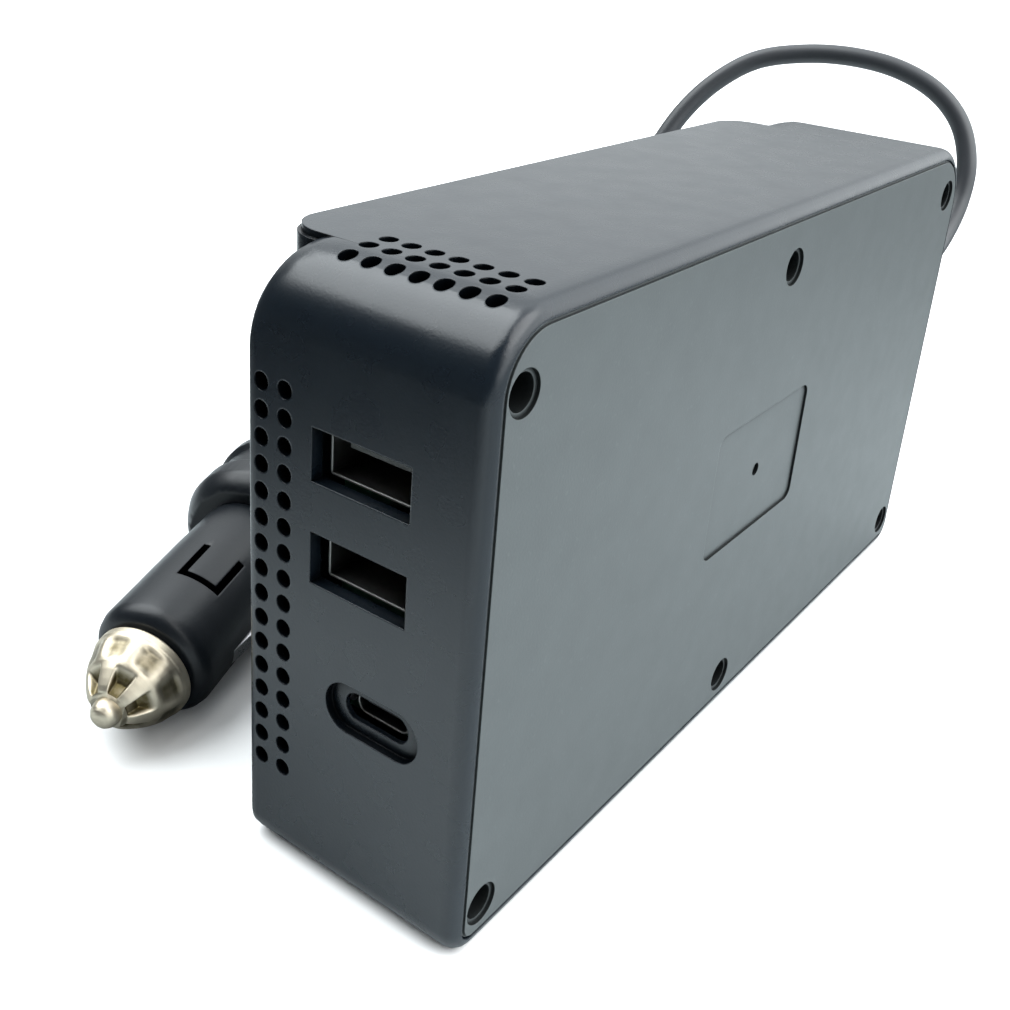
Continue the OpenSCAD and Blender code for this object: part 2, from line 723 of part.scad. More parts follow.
// Bowed spring strip in the side of the barrel
module side_contact() {
    r = barrel_d/2;
    linear_extrude(4, center = true) polygon([[r - 1.6, 9.6], [r - 0.5, 9.6], [r + contact_out - 0.5, 14.5],
        [r + contact_out, 18], [r + contact_out - 0.5, 21.5], [r - 0.5, 27.4], [r - 1.6, 27.4],
        [r - 1.6, 26.6], [r + contact_out - 1.5, 20.9], [r + contact_out - 1, 18],
        [r + contact_out - 1.5, 15.1], [r - 1.6, 10.4]]);
}

module plug_contact_left() {
    color([0.78, 0.78, 0.80]) laid() translate([0, barrel_s, 0]) mirror([1, 0, 0]) side_contact();
}

module plug_contact_right() {
    color([0.78, 0.78, 0.80]) laid() translate([0, barrel_s, 0]) side_contact();
}

module plug_boot() {
    color([0.10, 0.10, 0.11]) laid() {
        turned_part([[boot_s, 0], [boot_s, 5.6], [boot_s + 3, 5], [boot_s + boot_l, 3], [boot_s + boot_l, 0]]);
        for (s = [4, 7, 10, 13]) turned_part([[boot_s + s, 0], [boot_s + s, 5.6 - s*0.13],
            [boot_s + s + 1.5, 5.6 - s*0.13], [boot_s + s + 1.5, 0]]);
    }
}

main_shell();
base_plate();
base_screws();
usb_a_shell_upper();
usb_a_tongue_upper();
usb_a_shell_lower();
usb_a_tongue_lower();
usb_a_contacts();
usb_c_shell();
usb_c_tongue();
usb_board();
usb_board_screws();
usb_chip();
main_board();
main_board_screws();
transformer_core();
transformer_winding();
input_capacitors();
mains_capacitor();
heatsink();
power_transistors();
choke_core();
choke_winding();
board_fuse();
battery_leads();
outlet_insert();
outlet_contacts();
switch_frame();
power_rocker();
indicator_lens();
fan_frame();
fan_rotor();
fan_screws();
strain_relief();
power_cord();
plug_barrel();
plug_head();
plug_collar();
plug_cap();
plug_tip();
plug_spring();
plug_fuse();
plug_contact_left();
plug_contact_right();
plug_boot();
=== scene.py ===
"""Looks of a small power inverter with USB outputs and a vehicle socket plug.

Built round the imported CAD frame, in metres.
"""
import json
import math

import bmesh
import bpy
import numpy as np
from mathutils import Matrix, Vector


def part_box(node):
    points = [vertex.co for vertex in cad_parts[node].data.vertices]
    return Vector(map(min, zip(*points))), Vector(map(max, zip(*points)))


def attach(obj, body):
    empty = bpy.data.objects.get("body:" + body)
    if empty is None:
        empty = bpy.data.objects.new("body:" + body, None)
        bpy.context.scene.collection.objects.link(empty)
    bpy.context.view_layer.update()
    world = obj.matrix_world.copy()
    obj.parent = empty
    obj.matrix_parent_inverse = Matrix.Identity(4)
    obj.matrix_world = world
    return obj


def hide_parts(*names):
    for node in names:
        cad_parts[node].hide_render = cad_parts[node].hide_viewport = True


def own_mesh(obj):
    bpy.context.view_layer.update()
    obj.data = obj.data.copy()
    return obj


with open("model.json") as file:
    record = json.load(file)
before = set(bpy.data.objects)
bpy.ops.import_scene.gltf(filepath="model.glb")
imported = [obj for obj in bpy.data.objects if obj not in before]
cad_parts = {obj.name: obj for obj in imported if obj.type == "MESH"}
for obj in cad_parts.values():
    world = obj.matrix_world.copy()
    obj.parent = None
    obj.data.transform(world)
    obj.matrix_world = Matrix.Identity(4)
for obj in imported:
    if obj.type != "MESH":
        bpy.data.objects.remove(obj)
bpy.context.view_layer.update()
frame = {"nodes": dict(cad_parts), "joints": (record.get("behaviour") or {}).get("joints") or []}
nodes = frame["nodes"]
scene = bpy.context.scene
MM = 0.001


# --- Camera ---

CAMERA_AT = (0.0902, -0.1757, 0.1316)
AZIMUTH_DEG = 34.76
DOWNWARD_DEG = 22.42
ROLL_DEG = 4.54
SENSOR_WIDTH_MM = 36
LENS_MM = 44.2
SHIFT_Y = -0.119


def make_camera():
    """The photograph's viewpoint: right of the USB end, looking a little down, with a slight roll."""
    data = bpy.data.cameras.new("camera")
    data.sensor_width = SENSOR_WIDTH_MM
    data.lens = LENS_MM
    data.shift_y = SHIFT_Y
    data.clip_start = 0.01
    cam = bpy.data.objects.new("camera", data)
    scene.collection.objects.link(cam)
    azimuth = Matrix.Rotation(math.radians(AZIMUTH_DEG), 4, "Z")
    elevation = Matrix.Rotation(math.radians(90 - DOWNWARD_DEG), 4, "X")
    roll = Matrix.Rotation(math.radians(ROLL_DEG), 4, "Z")
    cam.matrix_world = Matrix.Translation(CAMERA_AT) @ azimuth @ elevation @ roll
    scene.camera = cam


make_camera()


# --- Shared mesh tools ---

PROFILE_STEP = 0.12 * MM


def new_piece(name, bm, body="housing"):
    """Turns a bmesh into a smooth-shaded, named object that rides on a body."""
    mesh = bpy.data.meshes.new(name)
    bmesh.ops.recalc_face_normals(bm, faces=bm.faces)
    bm.to_mesh(mesh)
    bm.free()
    for polygon in mesh.polygons:
        polygon.use_smooth = True
    piece = bpy.data.objects.new(name, mesh)
    scene.collection.objects.link(piece)
    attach(piece, body)
    return piece


def smooth_line(points, steps):
    """Points along a Catmull-Rom curve through the given ones."""
    p = [2 * points[0] - points[1], *points, 2 * points[-1] - points[-2]]
    line = []
    for i in range(1, len(p) - 2):
        for k in range(steps):
            t = k / steps
            line.append(0.5 * (2 * p[i] + (p[i + 1] - p[i - 1]) * t
                               + (2 * p[i - 1] - 5 * p[i] + 4 * p[i + 1] - p[i + 2]) * t ** 2
                               + (3 * p[i] - p[i - 1] - 3 * p[i + 1] + p[i + 2]) * t ** 3))
    line.append(points[-1])
    return line


def full_turn(count):
    """Evenly spaced angles round a circle."""
    return [2 * math.pi * k / count for k in range(count)]


def join_rings(bm, a, b):
    """Adds the band of faces between two rings of points."""
    count = len(a)
    for k in range(count):
        n = (k + 1) % count
        bm.faces.new((a[k], a[n], b[n], b[k]))


def close_ends(bm, rings):
    bm.faces.new(rings[0][::-1])
    bm.faces.new(rings[-1])


def add_tube(bm, line, radius, sides):
    """Adds a round tube along a line to a bmesh, closed at both ends."""
    side = Vector((0, 0, 1))
    rings = []
    for i, point in enumerate(line):
        before = line[max(i - 1, 0)]
        after = line[min(i + 1, len(line) - 1)]
        heading = (after - before).normalized()
        if i == 0 and abs(heading.z) > 0.9:
            side = Vector((1, 0, 0))
        side = (side - heading * side.dot(heading)).normalized()
        other = heading.cross(side)
        ring = []
        for a in full_turn(sides):
            ring.append(bm.verts.new(point + radius * (math.cos(a) * side + math.sin(a) * other)))
        rings.append(ring)
    for a, b in zip(rings, rings[1:]):
        join_rings(bm, a, b)
    close_ends(bm, rings)


def add_turned(bm, matrix, distances, radius, segments=96, mark=None):
    """Adds a closed shape about the Y axis of matrix: radius(s, a) at each distance s and angle a.

    mark(s, a), where given, is kept on the points as the attribute "hollow".
    """
    layer = bm.verts.layers.float.get("hollow") or bm.verts.layers.float.new("hollow")
    rings = []
    for s in distances:
        ring = []
        for a in full_turn(segments):
            r = radius(s, a)
            vert = bm.verts.new(matrix @ Vector((r * math.cos(a), s, r * math.sin(a))))
            vert[layer] = mark(s, a) if mark else 0
            ring.append(vert)
        rings.append(ring)
    for a, b in zip(rings, rings[1:]):
        join_rings(bm, a, b)
    close_ends(bm, rings)


def add_lathe(bm, profile, matrix, segments):
    """Adds a ring-shaped turned part: profile is a closed loop of [distance along, radius] pairs."""
    rings = []
    for s, r in profile:
        ring = []
        for a in full_turn(segments):
            ring.append(bm.verts.new(matrix @ Vector((r * math.cos(a), s, r * math.sin(a)))))
        rings.append(ring)
    for a, b in zip(rings, rings[1:] + rings[:1]):
        join_rings(bm, a, b)


def ramp(x, low, high):
    """0 below low, 1 above high, smooth between; falls instead if high is less than low."""
    t = min(1.0, max(0.0, (x - low) / (high - low)))
    return t * t * (3 - 2 * t)


def along_profile(profile, s):
    """Radius at s on a list of [distance, radius] pairs."""
    return float(np.interp(s, [p[0] for p in profile], [p[1] for p in profile]))


def stations(low, high):
    """Evenly spaced distances from low to high, close enough for a ribbed or hollowed surface."""
    count = max(2, round((high - low) / PROFILE_STEP) + 1)
    return [low + (high - low) * i / (count - 1) for i in range(count)]


# --- Cord, on the route of its CAD solid ---

ROUTE = [
    (9, 98, 55), (9, 107.5, 56), (9, 117, 60), (9, 124, 67), (8, 127.5, 75.5), (4, 129.5, 84),
    (-3, 129.5, 90.5), (-13, 129, 94.5), (-24, 127, 96), (-35, 123.5, 95.5), (-45, 118, 93),
    (-52, 112, 87.5), (-57, 106, 80), (-60, 100, 71), (-62, 94, 60), (-63, 90, 48), (-65, 87, 36),
    (-69, 85, 25), (-76, 84, 15.5), (-85, 83, 8.5), (-96, 84, 4), (-108, 88, 2.5), (-118, 96, 2.5),
    (-122, 108, 2.5), (-118, 120, 2.5), (-108, 128, 2.5), (-95, 129, 2.5), (-84, 123, 2.5),
    (-78, 112, 2.5), (-77, 99, 2.5), (-80, 87, 2.5), (-84, 76, 3.5), (-87, 65, 7.5), (-87.5, 55, 13),
    (-86, 46, 18), (-83.5, 37, 21.5), (-80, 27.5, 22.5), (-76.5, 18, 22), (-72.86, 9.27, 21.06),
]
CORD_D = 4.6 * MM
CORD_STEPS = 12
CORD_SIDES = 24


def make_cord():
    """The lead as one round tube, with the line that it follows and its length."""
    line = smooth_line([Vector(p) * MM for p in ROUTE], CORD_STEPS)
    bm = bmesh.new()
    add_tube(bm, line, CORD_D / 2, CORD_SIDES)
    piece = new_piece("cord_tube", bm)
    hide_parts("power_cord")
    length = sum((b - a).length for a, b in zip(line, line[1:]))
    return piece, line, length


cord_tube, cord_line, cord_length = make_cord()


# --- Detailed pieces on the plug, in its own axes ---

def joint(name):
    return next(j for j in frame["joints"] if j["name"] == name)


def points_of(node):
    return np.array([v.co for v in nodes[node].data.vertices])


def plug_frame():
    """Axes of the plug: Y from its tip to its lead, X across its side contacts, origin at the tip's end."""
    along = Vector(joint("tip_press")["axis"]).normalized()
    side = Vector(joint("left_contact_press")["axis"]).normalized()
    up = side.cross(along).normalized()
    head = points_of("plug_head")
    origin = along * float((points_of("plug_tip") @ np.array(along)).min())
    for axis in (side, up):
        reach = head @ np.array(axis)
        origin += axis * float(reach.min() + reach.max()) / 2
    matrix = Matrix((side, along, up)).transposed().to_4x4()
    matrix.translation = origin
    return matrix


plug = plug_frame()
plug_axis = plug.to_3x3() @ Vector((0, 1, 0))


def plug_span(node):
    """Where a node starts and ends along the plug's axis, from its tip."""
    reach = (points_of(node) - np.array(plug.translation)) @ np.array(plug_axis)
    return float(reach.min()), float(reach.max())


def make_nose_cap():
    """Rounded cone with deep hollows near the tip, shallow ones near the rim, and polished ribs between."""
    low, high = plug_span("plug_cap")
    notches, facets = 6, 8
    notch_deepest, facet_depth = 1.9, 0.5
    turn = math.radians(31)
    outside = [
        (0, 3.5), (0.15, 3.75), (0.6, 4.3), (1.4, 5.0), (2.6, 5.95), (3.8, 6.75), (5, 7.42), (6.2, 7.95),
        (7.2, 8.24), (8.0, 8.36), (8.15, 8.5), (9.35, 8.5), (9.6, 8.3),
    ]
    outside = [(d * MM, r * MM) for d, r in outside]

    def across(a, count):
        """0 in the middle of a hollow, 1 in the middle of a rib."""
        return abs(((a - turn) * count / (2 * math.pi) + 0.5) % 1 - 0.5) * 2

    def hollows(s, a):
        """How far s and a are into a deep hollow and into a shallow one, each from 0 to 1."""
        d = (s - low) / MM
        inner = ramp(across(a, notches), 0.58, 0.42) * ramp(d, -0.2, 0.4) * ramp(d, 3.4, 2.2)
        outer = ramp(across(a, facets), 0.95, 0.25) * ramp(d, 3.6, 5.2) * ramp(d, 7.9, 6.8)
        return inner, outer

    def radius(s, a):
        inner, outer = hollows(s, a)
        notch_depth = min(notch_deepest, 0.8 + 0.5 * (s - low) / MM)
        return along_profile(outside, s - low) - (notch_depth * inner + facet_depth * outer) * MM

    # The mark gives painted shade in the deep notches by the tip, and tarnished metal in the shallow hollows.
    def mark(s, a):
        inner, outer = hollows(s, a)
        return max(ramp(inner, 0.0, 0.5), 0.85 * outer)

    bm = bmesh.new()
    add_turned(bm, plug, stations(low, high), radius, 288, mark)
    piece = new_piece("nose_cap", bm)
    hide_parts("plug_cap")
    return piece


def ribbed(s, a, start, pitch, width, count, depth):
    """How far a strain relief is cut in at s and a.

    The cuts are rings of slots, each crossed by two bridges, a quarter turn on from the last ring's.
    """
    i = math.floor((s - start) / pitch)
    if not 0 <= i < count:
        return 0
    at = s - start - i * pitch
    flank = 0.25 * MM
    bridge = abs(math.cos(a + i * math.pi / 2))
    return depth * ramp(at, 0, flank) * ramp(at, width, width - flank) * ramp(bridge, 0.98, 0.90)


def make_boot():
    """Ribbed rubber boot where the lead leaves the plug."""
    low, high = plug_span("plug_boot")
    outside = [(0, 5.5), (0.3, 5.7), (2.8, 5.6), (3.6, 5.3), (20.2, 3.15), (20.8, 2.95), (21, 2.6)]
    outside = [(d * MM, r * MM) for d, r in outside]

    def radius(s, a):
        cut = ribbed(s, a, start=low + 4.2 * MM, pitch=2.4 * MM, width=1.2 * MM, count=6, depth=1.1 * MM)
        return along_profile(outside, s - low) - cut

    bm = bmesh.new()
    add_turned(bm, plug, stations(low, high), radius)
    piece = new_piece("boot_ribbed", bm)
    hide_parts("plug_boot")
    return piece


def make_relief():
    """Ribbed sleeve where the lead leaves the housing."""
    low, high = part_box("strain_relief")
    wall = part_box("main_shell")[1].y
    matrix = Matrix.Translation(((low.x + high.x) / 2, 0, (low.z + high.z) / 2))
    outside = [
        (low.y, 4.6), (low.y + 0.3 * MM, 5), (wall - 2.6 * MM, 5), (wall - 2.45 * MM, 3.6), (wall, 3.6),
        (wall + 0.12 * MM, 4.4), (wall + 0.4 * MM, 4.7), (wall + 2.6 * MM, 4.7), (wall + 3.4 * MM, 4.45),
        (high.y - 0.8 * MM, 3.35), (high.y - 0.2 * MM, 3.2), (high.y, 2.8),
    ]
    outside = [(d, r * MM) for d, r in outside]

    def radius(s, a):
        cut = ribbed(s, a, start=wall + 4.2 * MM, pitch=2.3 * MM, width=1.15 * MM, count=6, depth=0.9 * MM)
        return along_profile(outside, s) - cut

    bm = bmesh.new()
    add_turned(bm, matrix, stations(low.y, high.y), radius)
    piece = new_piece("relief_ribbed", bm)
    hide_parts("strain_relief")
    return piece


def make_spring():
    """Coil behind the tip, one closed wire at one fixed length."""
    low, high = plug_span("plug_spring")
    wire = 0.42 * MM
    coil = 2.9 * MM
    turns = 6
    steps = turns * 28
    line = []
    for i in range(steps + 1):
        t = i / steps
        a = 2 * math.pi * turns * t
        s = low + wire + (high - low - 2 * wire) * t
        line.append(plug @ Vector((coil * math.cos(a), s, coil * math.sin(a))))
    bm = bmesh.new()
    add_tube(bm, line, wire, 10)
    piece = new_piece("tip_spring", bm)
    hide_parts("plug_spring")
    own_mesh(piece)
    return piece


nose_cap = make_nose_cap()
boot_ribbed = make_boot()
relief_ribbed = make_relief()
tip_spring = make_spring()


# --- Fan wheel ---

def make_wheel():
    """Hub with a rounded face and curved, twisted blades."""
    low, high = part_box("fan_rotor")
    centre = Vector(((low.x + high.x) / 2, low.y, (low.z + high.z) / 2))
    depth = high.y - low.y
    hub = 6 * MM
    reach = (high.x - low.x) / 2
    bore = 1.05 * MM
    matrix = Matrix.Translation(centre)
    bm = bmesh.new()
    profile = [
        (0.3 * MM, bore), (0.3 * MM, hub - 1 * MM), (0, hub - 1.2 * MM), (0, hub - 0.6 * MM),
        (0.3 * MM, hub - 0.15 * MM), (0.7 * MM, hub), (depth, hub), (depth, hub - 0.7 * MM),
        (1.2 * MM, hub - 0.7 * MM), (1.2 * MM, bore),
    ]
    add_lathe(bm, profile, matrix, 72)
    blades = 7
    across, out = 9, 7
    half_thick = 0.35 * MM
    for turn in full_turn(blades):
        sheets = []
        for face in (-1, 1):
            grid = []
            for i in range(out + 1):
                t = i / out
                r = hub - 0.2 * MM + (reach - hub + 0.1 * MM) * t
                row = []
                for k in range(across + 1):
                    u = k / across
                    # Radians: the blade's twist, less towards its tip, its curve, and its tip's lean.
                    sweep = (0.62 - 0.16 * t) * (u - 0.5) + 0.10 * math.sin(math.pi * u) - 0.10 * t * t
                    y = depth * (0.08 + 0.84 * u)
                    # Thin at both edges, full in the middle.
                    edge = math.sin(math.pi * min(max(u, 0.04), 0.96)) ** 0.5
                    a = turn + sweep + face * half_thick * edge / r
                    row.append(bm.verts.new(matrix @ Vector((r * math.cos(a), y, r * math.sin(a)))))
                grid.append(row)
            sheets.append(grid)
        for grid in sheets:
            for i in range(out):
                for k in range(across):
                    bm.faces.new((grid[i][k], grid[i][k + 1], grid[i + 1][k + 1], grid[i + 1][k]))
        one, two = sheets
        rim = [(i, 0) for i in range(out + 1)] + [(out, k) for k in range(1, across + 1)]
        rim += [(i, across) for i in range(out - 1, -1, -1)] + [(0, k) for k in range(across - 1, 0, -1)]
        for (i, k), (m, n) in zip(rim, rim[1:] + rim[:1]):
            bm.faces.new((one[i][k], one[m][n], two[m][n], two[i][k]))
    bmesh.ops.remove_doubles(bm, verts=bm.verts, dist=1e-7)
    piece = new_piece("fan_wheel", bm, "fan")
    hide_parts("fan_rotor")
    return piece


fan_wheel = make_wheel()


# --- Materials ---

class Recipe:
    """A procedural material, built round one Principled shader, in metres."""

    def __init__(self, name, **shader):
        self.material = bpy.data.materials.new(name)
        self.material.use_nodes = True
        self.tree = self.material.node_tree
        self.tree.nodes.clear()
        output = self.node("ShaderNodeOutputMaterial")
        self.shader = self.node("ShaderNodeBsdfPrincipled")
        self.link(self.shader.outputs["BSDF"], output.inputs["Surface"])
        for socket, value in shader.items():
            self.shader.inputs[socket.replace("_", " ").title().replace("Ior", "IOR")].default_value = value
        self.place = self.node("ShaderNodeTexCoord").outputs["Object"]

    def node(self, kind, **settings):
        made = self.tree.nodes.new(kind)
        for key, value in settings.items():
            setattr(made, key, value)
        return made

    def link(self, source, target):
        self.tree.links.new(source, target)

    def noise(self, scale, detail=3):
        made = self.node("ShaderNodeTexNoise")
        made.inputs["Scale"].default_value = scale
        made.inputs["Detail"].default_value = detail
        self.link(self.place, made.inputs["Vector"])
        return made.outputs["Fac"]

    def spread(self, value, low, high, to_low, to_high):
        """value, with low..high mapped to to_low..to_high and held at the ends."""
        made = self.node("ShaderNodeMapRange", clamp=True)
        for socket, number in zip(("From Min", "From Max", "To Min", "To Max"), (low, high, to_low, to_high)):
            made.inputs[socket].default_value = number
        self.link(value, made.inputs["Value"])
        return made.outputs["Result"]

    def sum(self, a, b, how="ADD"):
        """a and b, each a socket or a number, put together by a Math node's operation."""
        made = self.node("ShaderNodeMath", operation=how)
        for socket, value in zip(made.inputs, (a, b)):
            if isinstance(value, (int, float)):
                socket.default_value = value
            else:
                self.link(value, socket)
        return made.outputs[0]

    def mix(self, share, a, b):
        """Colour a where share is 0 and b where it is 1; each is a socket or three numbers."""
        made = self.node("ShaderNodeMix", data_type="RGBA")
        self.link(share, made.inputs["Factor"])
        for index, value in ((6, a), (7, b)):
            if isinstance(value, tuple):
                made.inputs[index].default_value = (*value, 1)
            else:
                self.link(value, made.inputs[index])
        return made.outputs[2]

    def rounded(self, radius):
        """The normal as if edges were rounded off by radius."""
        bevel = self.node("ShaderNodeBevel", samples=6)
        bevel.inputs["Radius"].default_value = radius
        return bevel.outputs["Normal"]

    def edges(self, rounded):
        """1 where the surface turns sharply, 0 on flats, from its rounded normal."""
        dot = self.node("ShaderNodeVectorMath", operation="DOT_PRODUCT")
        self.link(rounded, dot.inputs[0])
        self.link(self.node("ShaderNodeNewGeometry").outputs["Normal"], dot.inputs[1])
        return self.spread(dot.outputs["Value"], 0.995, 0.86, 0, 1)

    def painted_hole_shade(self, distance, deep):
        """Painted shade from ambient occlusion: deep inside the object's own holes and gaps, 1 in the open.
        """
        made = self.node("ShaderNodeAmbientOcclusion", samples=6, only_local=True)
        made.inputs["Distance"].default_value = distance
        return self.spread(made.outputs["AO"], 0.55, 0.97, deep, 1)

    def bump(self, height, distance, strength, below):
        """The normal below, made rough by height."""
        made = self.node("ShaderNodeBump")
        made.inputs["Distance"].default_value = distance
        made.inputs["Strength"].default_value = strength
        self.link(height, made.inputs["Height"])
        self.link(below, made.inputs["Normal"])
        return made.outputs["Normal"]

    def finish(self, colour=None, roughness=None, normal=None):
        for socket, value in (("Base Color", colour), ("Roughness", roughness), ("Normal", normal)):
            if value is not None:
                self.link(value, self.shader.inputs[socket])
        return self.material


def tint(colour, factor):
    return tuple(min(1.0, c * factor) for c in colour)


def moulded(name, colour, rough, grain=2600, depth=0.03, edge=0.4, deep=0.12, reach=5, level=0.5):
    """Moulded plastic: fine spark grain, soft mottling, handled sheen, and paler edges of rubbing wear with a
    painted highlight.

    depth, edge and reach are millimetres: of the grain, of the edges' rounding, and how far the painted shade
    in holes reaches.
    deep is what is left of the colour inside holes under that painted shade, which also dims their gloss, and
    level the strength of the open surface's gloss.
    """
    r = Recipe(name, specular_ior_level=level)
    mottle = r.noise(140, 4)
    fine = r.noise(grain, 2)
    speck = r.noise(1100, 3)
    base = r.mix(r.spread(mottle, 0.3, 0.7, 0, 1), tint(colour, 0.96), tint(colour, 1.04))
    base = r.mix(r.spread(speck, 0.62, 0.75, 0, 0.35), base, tint(colour, 1.5))
    rounded = r.rounded(edge * MM)
    # Paler edges: rubbing wear broken up by noise, and a painted highlight along rounded edges.
    wear_and_highlight = r.sum(r.edges(rounded), r.spread(r.noise(420, 3), 0.35, 0.65, 0.25, 1), "MULTIPLY")
    base = r.mix(wear_and_highlight, base, tint(colour, 1.5))
    # Painted shade: the colour darkens and the gloss dims inside holes and gaps, from ambient occlusion.
    if deep < 1:
        outside_painted_shade = r.painted_hole_shade(reach * MM, 0)
        base = r.mix(outside_painted_shade, tint(colour, deep), base)
        r.link(r.spread(outside_painted_shade, 0, 1, 0.1 * level, level), r.shader.inputs["Specular IOR Level"])
    sheen = r.spread(r.noise(190, 3), 0.3, 0.7, rough - 0.02, rough + 0.02)
    rough_all = r.sum(sheen, r.sum(wear_and_highlight, 0.08, "MULTIPLY"), "SUBTRACT")
    return r.finish(base, rough_all, r.bump(fine, depth * MM, 0.5, rounded))


def metal(name, colour, rough, axis=None, tarnish_and_shade=None, deep=1, depth=0.01):
    """Plated or drawn metal: fine scratches, dulled patches and bright edges.

    axis, where given, turns the scratches into turning lines about it. tarnish_and_shade is the colour in the
    places marked
    "hollow": tarnished metal, and painted shade where the hollows are deep. deep is what is left of the
    colour inside holes under painted shade, and depth the scratches' in millimetres.
    """
    grain = 3200
    r = Recipe(name, metallic=1.0)
    if axis is None:
        lines = r.noise(grain, 3)
    else:
        dot = r.node("ShaderNodeVectorMath", operation="DOT_PRODUCT")
        r.link(r.place, dot.inputs[0])
        dot.inputs[1].default_value = axis
        rings = r.node("ShaderNodeTexNoise", noise_dimensions="1D")
        r.link(dot.outputs["Value"], rings.inputs["W"])
        rings.inputs["Scale"].default_value = grain
        rings.inputs["Detail"].default_value = 2
        lines = rings.outputs["Fac"]
    patch = r.noise(260, 4)
    base = r.mix(r.spread(patch, 0.35, 0.7, 0, 1), colour, tint(colour, 0.78))
    rounded = r.rounded(0.3 * MM)
    base = r.mix(r.edges(rounded), base, tint(colour, 1.2))
    # Painted shade inside holes, from ambient occlusion.
    if deep < 1:
        base = r.mix(r.painted_hole_shade(4 * MM, 0), tint(colour, deep), base)
    # The hollow colour: tarnished metal, and painted shade in the deep notches, broken up by noise.
    if tarnish_and_shade:
        hollow = r.node("ShaderNodeAttribute", attribute_name="hollow").outputs["Fac"]
        stain_and_shade = r.sum(hollow, r.spread(r.noise(700, 3), 0.3, 0.7, 0.75, 1), "MULTIPLY")
        base = r.mix(r.spread(stain_and_shade, 0.1, 0.95, 0, 1), base, tarnish_and_shade)
    rough_all = r.sum(r.spread(lines, 0.3, 0.7, rough - 0.06, rough + 0.06),
                      r.spread(patch, 0.35, 0.7, 0, 0.1))
    return r.finish(base, rough_all, r.bump(lines, depth * MM, 0.4, rounded))


SLATE = (0.006, 0.010, 0.015)
PLATE = (0.066, 0.075, 0.077)
BLACK = (0.012, 0.012, 0.013)
NICKEL = (0.68, 0.61, 0.48)
STEEL = (0.58, 0.58, 0.60)
BRASS = (0.78, 0.56, 0.26)

look = {
    "housing": moulded("housing_plastic", SLATE, 0.28, edge=0.3, reach=8),
    "plate": moulded("plate_plastic", PLATE, 0.40, edge=0.15, reach=7),
    "black": moulded("black_plastic", BLACK, 0.38),
    "plug": moulded("plug_plastic", (0.006, 0.008, 0.011), 0.36, level=0.38),
    "rubber": moulded("cord_rubber", (0.030, 0.033, 0.038), 0.46, grain=1800, depth=0.02, edge=0.2),
    "rocker": moulded("rocker_plastic", (0.016, 0.016, 0.018), 0.30),
    # The nickel's dark olive hollow colour is tarnished metal in the shallow hollows and painted shade in the
    # deep notches by the tip.
    "nickel": metal("plug_nickel", NICKEL, 0.40, axis=plug_axis, tarnish_and_shade=(0.110, 0.088, 0.040), depth=0.004),
    "socket": metal("socket_nickel", (0.26, 0.26, 0.25), 0.36, deep=0.15),
    "tongue": moulded("tongue_plastic", (0.17, 0.175, 0.17), 0.45, deep=1),
    "steel": metal("socket_steel", STEEL, 0.28),
    "screw": metal("screw_steel", (0.16, 0.16, 0.17), 0.40),
    "brass": metal("contact_brass", BRASS, 0.26),
    "aluminium": metal("heatsink_aluminium", (0.70, 0.71, 0.73), 0.36),
    "copper": metal("winding_copper", (0.72, 0.36, 0.18), 0.28),
    "board": moulded("board_laminate", (0.018, 0.090, 0.045), 0.34),
    "ferrite": moulded("ferrite_grey", (0.055, 0.055, 0.058), 0.60),
    "chip": moulded("chip_epoxy", (0.014, 0.014, 0.015), 0.50),
    "sleeve": moulded("capacitor_sleeve", (0.020, 0.030, 0.055), 0.32),
    "lens": moulded("lens_green", (0.04, 0.30, 0.08), 0.16, deep=1),
    "ceramic": moulded("fuse_ceramic", (0.62, 0.60, 0.54), 0.35),
    "tape": moulded("winding_tape", (0.55, 0.40, 0.10), 0.40),
}

PAINT = {
    "main_shell": "housing", "base_plate": "plate", "base_screws": "screw",
    "usb_a_shell_upper": "socket", "usb_a_shell_lower": "socket",
    "usb_a_tongue_upper": "tongue", "usb_a_tongue_lower": "tongue", "usb_a_contacts": "brass",
    "usb_c_shell": "socket", "usb_c_tongue": "black", "usb_board": "board", "usb_board_screws": "steel",
    "usb_chip": "chip", "main_board": "board", "main_board_screws": "steel",
    "transformer_core": "ferrite", "transformer_winding": "tape", "input_capacitors": "sleeve",
    "mains_capacitor": "sleeve", "heatsink": "aluminium", "power_transistors": "chip",
    "choke_core": "ferrite", "choke_winding": "copper", "board_fuse": "tape", "battery_leads": "rubber",
    "outlet_insert": "black", "outlet_contacts": "brass", "switch_frame": "black",
    "power_rocker": "rocker", "indicator_lens": "lens", "fan_frame": "black", "fan_rotor": "black",
    "fan_screws": "steel", "strain_relief": "rubber", "power_cord": "rubber",
    "plug_barrel": "plug", "plug_head": "plug", "plug_collar": "black", "plug_cap": "nickel",
    "plug_tip": "nickel", "plug_spring": "steel", "plug_fuse": "ceramic",
    "plug_contact_left": "steel", "plug_contact_right": "steel", "plug_boot": "rubber",
}


def paint(piece, name):
    piece.data.materials.clear()
    piece.data.materials.append(look[name])


def soften(piece, width):
    """Smooth fillets and softened edges on a CAD node, by modifiers that leave its own mesh alone."""
    weld = piece.modifiers.new("weld", "WELD")
    weld.merge_threshold = 0.002 * MM
    if width:
        bevel = piece.modifiers.new("bevel", "BEVEL")
        bevel.width = width * MM
        bevel.segments = 2
        bevel.limit_method = "ANGLE"
        bevel.angle_limit = math.radians(40)
    else:
        split = piece.modifiers.new("split", "EDGE_SPLIT")
        split.split_angle = math.radians(30)
    normals = piece.modifiers.new("normals", "WEIGHTED_NORMAL")
    normals.mode = "FACE_AREA"
    normals.weight = 90
    normals.keep_sharp = False


